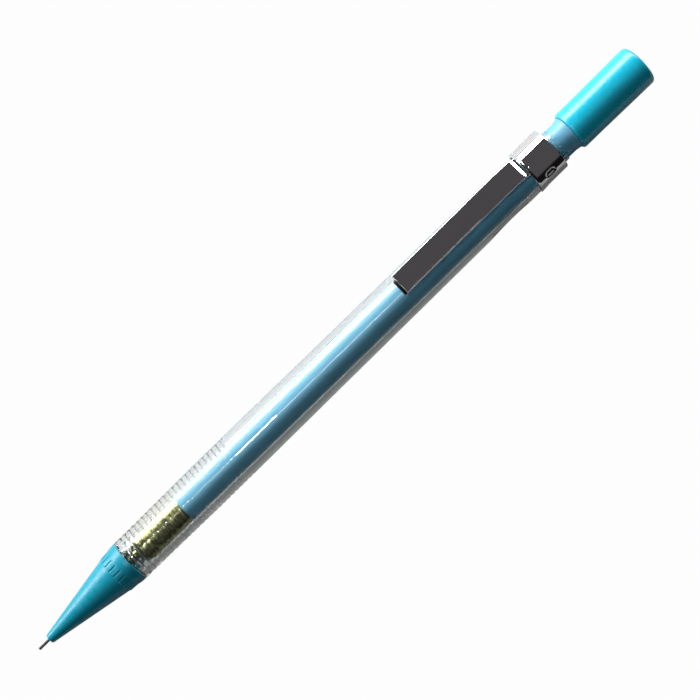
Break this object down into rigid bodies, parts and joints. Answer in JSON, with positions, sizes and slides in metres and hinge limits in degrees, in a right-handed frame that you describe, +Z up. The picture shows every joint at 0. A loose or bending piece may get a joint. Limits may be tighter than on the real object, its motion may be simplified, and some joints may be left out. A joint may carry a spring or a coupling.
{
  "type": "mechanical pencil",
  "caption": "Push-button mechanical pencil with a clear ribbed barrel, fluted nose cone, spring clip, brass chuck and a pull-off cap over an eraser.",
  "frame": {"origin": "centre of the bounding box, on the surface the pencil lies on", "axes": "+X along the pencil from the lead to the push cap, +Z up, the clip on top and leaning 19 degrees towards +Y"},
  "size_m": [0.1418, 0.0084, 0.01],
  "materials": {
    "graphite": "dull polymer-bound graphite",
    "teal_plastic": "smooth glossy moulded plastic",
    "clear_plastic": "clear colourless moulded plastic",
    "light_blue_plastic": "smooth satin moulded plastic",
    "polished_chrome": "polished chrome plate on pressed steel sheet",
    "yellow_brass": "bright turned brass",
    "spring_steel": "drawn steel wire",
    "black_rubber": "matt moulded rubber",
    "white_plastic": "white moulded plastic",
    "white_vinyl": "soft white vinyl eraser"
  },
  "bodies": {
    "barrel": {"barrel": "clear_plastic", "clip_band": "polished_chrome", "chuck_sleeve": "yellow_brass", "chuck_spring": "spring_steel"},
    "clip": {"clip_blade": "polished_chrome"},
    "retainer": {"lead_retainer": "black_rubber"},
    "nose": {"nose_cone": "teal_plastic"},
    "pusher": {"reservoir_tube": "light_blue_plastic", "chuck_connector": "yellow_brass", "chuck_body": "yellow_brass"},
    "ring": {"chuck_ring": "yellow_brass"},
    "lead": {"lead": "graphite"},
    "spares": {"spare_lead_1": "graphite", "spare_lead_2": "graphite", "spare_lead_3": "graphite"},
    "eraser": {"eraser_holder": "white_plastic", "eraser": "white_vinyl", "cleaning_pin": "spring_steel"},
    "cap": {"cap": "teal_plastic"},
    "jaw_1": {"chuck_jaw_1": "yellow_brass"},
    "jaw_2": {"chuck_jaw_2": "yellow_brass"},
    "jaw_3": {"chuck_jaw_3": "yellow_brass"}
  },
  "joints": [
    {"name": "push", "type": "slide", "parent": "barrel", "child": "pusher", "axis": [-1, 0, 0], "range_m": [0, 0.0022], "stiffness_N_per_m": 1500, "springref_m": -0.0013, "deforming": ["chuck_spring"]},
    {"name": "clip_flex", "type": "hinge", "parent": "barrel", "child": "clip", "pos_m": [0.04388, 0.00138, 0.00852], "axis": [0, 0.9455, -0.3256], "range_deg": [0, 4], "stiffness_Nm_per_rad": 1.5, "springref_deg": -1.72},
    {"name": "nose_travel", "type": "slide", "parent": "barrel", "child": "retainer", "axis": [-1, 0, 0], "range_m": [0, 0.0042]},
    {"name": "nose_turn", "type": "hinge", "parent": "retainer", "child": "nose", "pos_m": [-0.0585, -0.00015, 0.00407], "axis": [-1, 0, 0], "range_deg": [0, 1440.5]},
    {"name": "ring_slide", "type": "slide", "parent": "barrel", "child": "ring", "axis": [-1, 0, 0], "range_m": [0, 0.00073]},
    {"name": "lead_feed", "type": "slide", "parent": "ring", "child": "lead", "axis": [-1, 0, 0], "range_m": [-0.0024, 0.004]},
    {"name": "spare_leads_slide", "type": "slide", "parent": "pusher", "child": "spares", "axis": [1, 0, 0], "range_m": [-0.0006, 0.028]},
    {"name": "eraser_pull", "type": "slide", "parent": "pusher", "child": "eraser", "axis": [1, 0, 0], "range_m": [0, 0.0225]},
    {"name": "cap_pull", "type": "slide", "parent": "eraser", "child": "cap", "axis": [1, 0, 0], "range_m": [0, 0.015]},
    {"name": "jaw_1_open", "type": "hinge", "parent": "pusher", "child": "jaw_1", "pos_m": [-0.05145, 0.0005, 0.00407], "axis": [0, 0, -1], "range_deg": [0, 0.8]},
    {"name": "jaw_2_open", "type": "hinge", "parent": "pusher", "child": "jaw_2", "pos_m": [-0.05145, -0.00048, 0.00464], "axis": [0, 0.866, 0.5], "range_deg": [0, 0.8]},
    {"name": "jaw_3_open", "type": "hinge", "parent": "pusher", "child": "jaw_3", "pos_m": [-0.05145, -0.00048, 0.00351], "axis": [0, -0.866, 0.5], "range_deg": [0, 0.8]}
  ],
  "couplings": [
    {"joint": "ring_slide", "follows": "push", "ratio": 0.33},
    {"joint": "nose_turn", "follows": "nose_travel", "rad_per_m": 5984},
    {"joint": "jaw_1_open", "follows": "push", "rad_per_m": 6.2},
    {"joint": "jaw_2_open", "follows": "push", "rad_per_m": 6.2},
    {"joint": "jaw_3_open", "follows": "push", "rad_per_m": 6.2}
  ]
}
